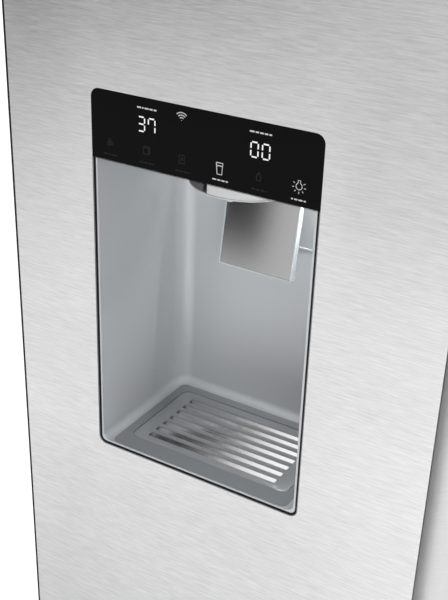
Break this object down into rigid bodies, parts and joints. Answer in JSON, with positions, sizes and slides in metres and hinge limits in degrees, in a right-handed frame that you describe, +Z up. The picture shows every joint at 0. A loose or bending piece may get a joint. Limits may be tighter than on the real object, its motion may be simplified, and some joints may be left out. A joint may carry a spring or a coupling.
{
  "type": "side by side refrigerator",
  "caption": "Side by side refrigerator freezer with a glass-fronted water and ice dispenser set into the brushed steel freezer door.",
  "frame": {"origin": "on the floor at the middle of the footprint", "axes": "+Z up, the doors face -Y, +X to the right of someone facing them"},
  "size_m": [0.908, 0.707, 1.787],
  "materials": {
    "brushed_stainless": "horizontal brushed grain",
    "painted_steel": "textured satin grey",
    "zinc_plate": "dull zinc plate",
    "white_liner": "satin white",
    "foam": "closed cell foam",
    "gasket_rubber": "soft grey",
    "grey_plastic": "fine satin moulding",
    "dark_plastic": "satin black",
    "black_glass": "polished black",
    "silver_plastic": "silver satin",
    "clear_plastic": "clear, pale blue",
    "shelf_glass": "polished",
    "aluminium": "mill finish",
    "black_paint": "satin black"
  },
  "bodies": {
    "cabinet": {"cabinet_shell": "painted_steel", "cabinet_foam": "foam", "rear_panel": "zinc_plate", "base_pan": "zinc_plate", "front_frame": "painted_steel", "freezer_liner": "white_liner", "fridge_liner": "white_liner", "toe_grille": "painted_steel", "machine_cover": "zinc_plate", "compressor": "black_paint", "condenser": "aluminium", "evaporator": "aluminium", "evaporator_cover": "white_liner", "air_duct": "white_liner", "hinge_cover_left": "dark_plastic", "hinge_cover_right": "dark_plastic", "top_hinge_left": "zinc_plate", "top_hinge_right": "zinc_plate", "bottom_hinge_left": "zinc_plate", "bottom_hinge_right": "zinc_plate", "ice_maker": "white_liner", "filter_housing": "white_liner", "freezer_shelf": "shelf_glass", "fridge_shelf_upper": "shelf_glass", "fridge_shelf_lower": "shelf_glass"},
    "freezer_door": {"freezer_door_skin": "brushed_stainless", "freezer_door_core": "foam", "freezer_door_liner": "white_liner", "freezer_door_gasket": "gasket_rubber", "freezer_door_handle": "brushed_stainless", "dispenser_housing": "grey_plastic", "dispenser_trim": "dark_plastic", "control_panel": "black_glass", "spout": "silver_plastic", "ice_chute": "white_liner", "water_nozzle": "silver_plastic"},
    "paddle": {"paddle_plate": "brushed_stainless", "paddle_carrier": "clear_plastic"},
    "ice_flap": {"ice_flap": "dark_plastic"},
    "drip_grille": {"drip_grille": "silver_plastic"},
    "freezer_bin": {"freezer_door_bin": "clear_plastic"},
    "fridge_door": {"fridge_door_skin": "brushed_stainless", "fridge_door_core": "foam", "fridge_door_liner": "white_liner", "fridge_door_gasket": "gasket_rubber", "fridge_door_handle": "brushed_stainless", "dairy_box": "clear_plastic"},
    "dairy_lid": {"dairy_lid": "clear_plastic"},
    "fridge_bin": {"fridge_door_bin": "clear_plastic"},
    "condenser_fan": {"condenser_fan": "dark_plastic"},
    "evaporator_fan": {"evaporator_fan": "white_liner"},
    "front_foot_left": {"front_foot_left": "dark_plastic"},
    "front_foot_right": {"front_foot_right": "dark_plastic"},
    "rear_roller_left": {"rear_roller_left": "dark_plastic"},
    "rear_roller_right": {"rear_roller_right": "dark_plastic"},
    "ice_bucket": {"ice_bucket": "clear_plastic"},
    "water_filter": {"water_filter": "white_liner"},
    "freezer_drawer": {"freezer_drawer": "clear_plastic"},
    "crisper_lower": {"crisper_lower": "clear_plastic"},
    "crisper_upper": {"crisper_upper": "clear_plastic"}
  },
  "joints": [
    {"name": "freezer_door_hinge", "type": "hinge", "parent": "cabinet", "child": "freezer_door", "pos_m": [-0.436, -0.3085, 0.9], "axis": [0, 0, -1], "range_deg": [0, 125]},
    {"name": "fridge_door_hinge", "type": "hinge", "parent": "cabinet", "child": "fridge_door", "pos_m": [0.436, -0.3085, 0.9], "axis": [0, 0, 1], "range_deg": [0, 125]},
    {"name": "paddle_hinge", "type": "hinge", "parent": "freezer_door", "child": "paddle", "pos_m": [-0.2779, -0.25, 1.1975], "axis": [1, 0, 0], "range_deg": [0, 9], "stiffness_Nm_per_rad": 0.25, "springref_deg": -11.46},
    {"name": "ice_flap_hinge", "type": "hinge", "parent": "freezer_door", "child": "ice_flap", "pos_m": [-0.2779, -0.265, 1.197], "axis": [1, 0, 0], "range_deg": [0, 60]},
    {"name": "drip_grille_lift", "type": "slide", "parent": "freezer_door", "child": "drip_grille", "axis": [0, 0, 1], "range_m": [0, 0.03]},
    {"name": "freezer_bin_lift", "type": "slide", "parent": "freezer_door", "child": "freezer_bin", "axis": [0, 0, 1], "range_m": [0, 0.03]},
    {"name": "fridge_bin_lift", "type": "slide", "parent": "fridge_door", "child": "fridge_bin", "axis": [0, 0, 1], "range_m": [0, 0.03]},
    {"name": "dairy_lid_hinge", "type": "hinge", "parent": "fridge_door", "child": "dairy_lid", "pos_m": [0.201, -0.2735, 1.5425], "axis": [1, 0, 0], "range_deg": [0, 80]},
    {"name": "freezer_drawer_slide", "type": "slide", "parent": "cabinet", "child": "freezer_drawer", "axis": [0, -1, 0], "range_m": [0, 0.2]},
    {"name": "crisper_lower_slide", "type": "slide", "parent": "cabinet", "child": "crisper_lower", "axis": [0, -1, 0], "range_m": [0, 0.2]},
    {"name": "crisper_upper_slide", "type": "slide", "parent": "cabinet", "child": "crisper_upper", "axis": [0, -1, 0], "range_m": [0, 0.2]},
    {"name": "ice_bucket_lift", "type": "slide", "parent": "cabinet", "child": "ice_bucket", "axis": [0, 0, 1], "range_m": [0, 0.02]},
    {"name": "water_filter_turn", "type": "hinge", "parent": "cabinet", "child": "water_filter", "pos_m": [0.34, 0, 1.662], "axis": [0, 1, 0], "range_deg": [0, 90]},
    {"name": "condenser_fan_spin", "type": "hinge", "parent": "cabinet", "child": "condenser_fan", "pos_m": [0.185, 0.252, 0.142], "axis": [1, 0, 0], "continuous": true},
    {"name": "evaporator_fan_spin", "type": "hinge", "parent": "cabinet", "child": "evaporator_fan", "pos_m": [-0.246, 0.252, 1.23], "axis": [0, 1, 0], "continuous": true},
    {"name": "front_foot_left_turn", "type": "hinge", "parent": "cabinet", "child": "front_foot_left", "pos_m": [-0.395, -0.215, 0.02], "axis": [0, 0, 1], "continuous": true},
    {"name": "front_foot_right_turn", "type": "hinge", "parent": "cabinet", "child": "front_foot_right", "pos_m": [0.395, -0.215, 0.02], "axis": [0, 0, 1], "continuous": true},
    {"name": "rear_roller_left_spin", "type": "hinge", "parent": "cabinet", "child": "rear_roller_left", "pos_m": [-0.425, 0.27, 0.02], "axis": [1, 0, 0], "continuous": true},
    {"name": "rear_roller_right_spin", "type": "hinge", "parent": "cabinet", "child": "rear_roller_right", "pos_m": [0.425, 0.27, 0.02], "axis": [1, 0, 0], "continuous": true}
  ],
  "couplings": [
    {"joint": "freezer_drawer_slide", "follows": "freezer_door_hinge", "m_per_rad": 0.0916},
    {"joint": "crisper_lower_slide", "follows": "fridge_door_hinge", "m_per_rad": 0.0916},
    {"joint": "crisper_upper_slide", "follows": "fridge_door_hinge", "m_per_rad": 0.0916},
    {"joint": "ice_flap_hinge", "follows": "paddle_hinge", "ratio": 6.5}
  ]
}
